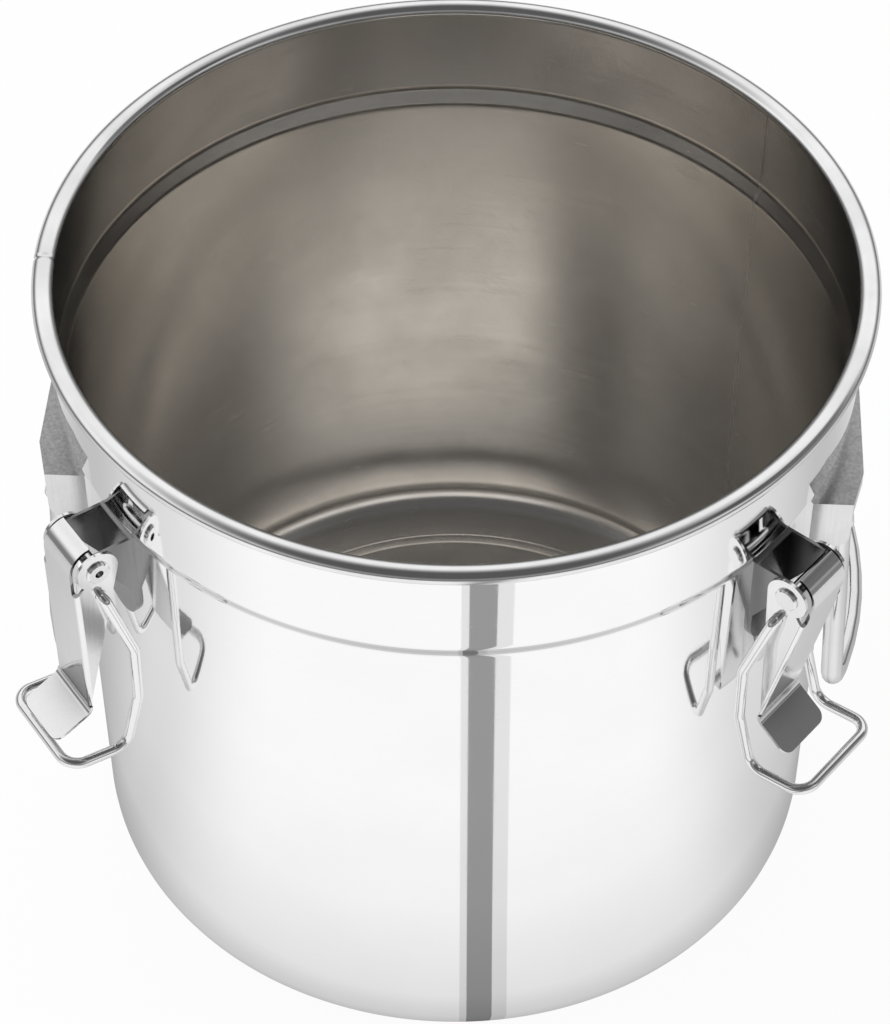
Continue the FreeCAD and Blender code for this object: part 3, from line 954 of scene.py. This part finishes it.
square_x = math_node(tree, "POWER", floor_x, 2.0)
square_y = math_node(tree, "POWER", floor_y, 2.0)
ground = math_node(tree, "SQRT", math_node(tree, "ADD", square_x, square_y))
frontward = math_node(tree, "DIVIDE", front, math_node(tree, "MAXIMUM", ground, LEAST))
front_share = math_node(tree, "ADD", math_node(tree, "MULTIPLY", frontward, 0.5), 0.5)
# Painted shade: darker towards the sides, seen only in reflections.
side_fall = tone_ramp(tree, front_share, centred(SIDE_STOPS), "EASE")
# Painted shadow: darker near the drum's foot, seen only in reflections.
foot_fall = tone_ramp(tree, ground, FOOT_STOPS)
floor_fall = math_node(tree, "MULTIPLY", side_fall, foot_fall)
mirror_tone = mix_colour(tree, 1.0, strip_tone, floor_fall, "MULTIPLY")
print("side stops", len(SIDE_STOPS), "foot stops", len(FOOT_STOPS))

# %% [markdown]
# ## The floor's paint
# The Light Path node knows what kind of ray meets the floor. The eye sees plain white, reflections see
# the strip and the falloff, and light that is only scattered meets a pale diffuse paint. A little of
# the paint stays in what the eye sees, so that the drum keeps its shadow.

# %% Paint the floor
PAINT = grey(0.92)
GLOW_SHARE = 0.94

rays = tree.nodes.new("ShaderNodeLightPath").outputs
glow = tree.nodes.new("ShaderNodeEmission")
tree.links.new(mix_colour(tree, rays["Is Glossy Ray"], grey(1.0), mirror_tone), glow.inputs["Color"])
paint = tree.nodes.new("ShaderNodeBsdfDiffuse")
paint.inputs["Color"].default_value = (*PAINT, 1)
mirrored_ray = math_node(tree, "MAXIMUM", rays["Is Glossy Ray"], rays["Is Transmission Ray"])
looked_at = math_node(tree, "MAXIMUM", rays["Is Camera Ray"], mirrored_ray)
mixer = tree.nodes.new("ShaderNodeMixShader")
tree.links.new(math_node(tree, "MULTIPLY", looked_at, GLOW_SHARE), mixer.inputs[0])
tree.links.new(paint.outputs[0], mixer.inputs[1])
tree.links.new(glow.outputs[0], mixer.inputs[2])
floor_out = tree.nodes.new("ShaderNodeOutputMaterial")
tree.links.new(mixer.outputs[0], floor_out.inputs["Surface"])
floor_mesh.materials.append(floor_paint)
print("floor paint", floor_paint.name)

# %% [markdown]
# ## What the room looks like in a reflection
# White panels stand all round. On the camera's side, high up, is a dark gap where no panel hangs, a
# smaller gap is at the right, and the room is darker near the floor. Planes could stand for the panels,
# but three smooth steps over the direction give the same with no objects to hide.

# %% Helpers for the room


def smooth_step(tree, value, start, stop, first, last):
    node = tree.nodes.new("ShaderNodeMapRange")
    node.interpolation_type = "SMOOTHSTEP"
    for label, number in (("From Min", start), ("From Max", stop), ("To Min", first), ("To Max", last)):
        node.inputs[label].default_value = number
    tree.links.new(value, node.inputs["Value"])
    return node.outputs["Result"]


def nearness(tree, vector, direction):
    node = tree.nodes.new("ShaderNodeVectorMath")
    node.operation = "DOT_PRODUCT"
    node.inputs[1].default_value = direction
    tree.links.new(vector, node.inputs[0])
    return node.outputs["Value"]


print("a gap is given by its direction and by how near to it the tone starts and ends")

# %% [markdown]
# Each gap and the low part of the room has a start and an end of its step, and the grey at both. The
# front gap stands over the camera, so its direction follows from the camera's turn.

# %% Tone the room
GAP_HEIGHT = math.radians(66)
FRONT_GAP = (math.sin(EYE_AZIMUTH) * math.cos(GAP_HEIGHT),
             -math.cos(EYE_AZIMUTH) * math.cos(GAP_HEIGHT), math.sin(GAP_HEIGHT))
FRONT_STEP = (0.45, 0.92, 1.0, 0.10)
RIGHT_GAP = (0.7585, 0.135, 0.638)
RIGHT_STEP = (0.90, 0.97, 1.0, 0.16)
LOW_STEP = (0.20, 0.52, 0.22, 1.0)

world = bpy.data.worlds.new("studio_room")
bpy.context.scene.world = world
world.use_nodes = True
tree = world.node_tree
tree.nodes.clear()
toward = tree.nodes.new("ShaderNodeTexCoord").outputs["Generated"]
front_tone = smooth_step(tree, nearness(tree, toward, FRONT_GAP), *FRONT_STEP)
right_tone = smooth_step(tree, nearness(tree, toward, RIGHT_GAP), *RIGHT_STEP)
low_tone = smooth_step(tree, split(tree, toward)["Z"], *LOW_STEP)
room_level = math_node(tree, "MULTIPLY", math_node(tree, "MULTIPLY", front_tone, right_tone), low_tone)
print("front gap", [round(value, 3) for value in FRONT_GAP])

# %% [markdown]
# ## The room's light
# As on the floor, the eye sees plain white and reflections see the panels. Scattered light comes from
# an even room at a plain level.

# %% Light the room
ROOM_LEVEL = grey(0.6)

rays = tree.nodes.new("ShaderNodeLightPath").outputs
room_tone = mix_colour(tree, rays["Is Glossy Ray"], ROOM_LEVEL, room_level)
straight_ray = math_node(tree, "MAXIMUM", rays["Is Camera Ray"], rays["Is Transmission Ray"])
room_light = tree.nodes.new("ShaderNodeBackground")
tree.links.new(mix_colour(tree, straight_ray, room_tone, grey(1.0)), room_light.inputs["Color"])
room_out = tree.nodes.new("ShaderNodeOutputWorld")
tree.links.new(room_light.outputs[0], room_out.inputs["Surface"])
print("room", world.name)

# %% [markdown]
# ## The lamp
# One wide panel lamp above and behind gives the floor its soft shadow. It is hidden from reflections,
# because the room already holds the panels that the steel shows.

# %% Hang the lamp
LAMP_SIZE = 2.4
LAMP_POWER = 26
LAMP_PLACE = (-0.6, 0.5, 2.2)
LAMP_AIM = Vector((0, 0, 0.15))

lamp_data = bpy.data.lights.new("soft_panel", "AREA")
lamp_data.shape = "SQUARE"
lamp_data.size = LAMP_SIZE
lamp_data.energy = LAMP_POWER
lamp = bpy.data.objects.new("soft_panel", lamp_data)
lamp.location = LAMP_PLACE
lamp.rotation_euler = (LAMP_AIM - lamp.location).to_track_quat("-Z", "Y").to_euler()
lamp.visible_glossy = False
bpy.context.scene.collection.objects.link(lamp)
bpy.context.scene.view_settings.view_transform = "Standard"
print("lamp at", [round(value, 2) for value in lamp.location])
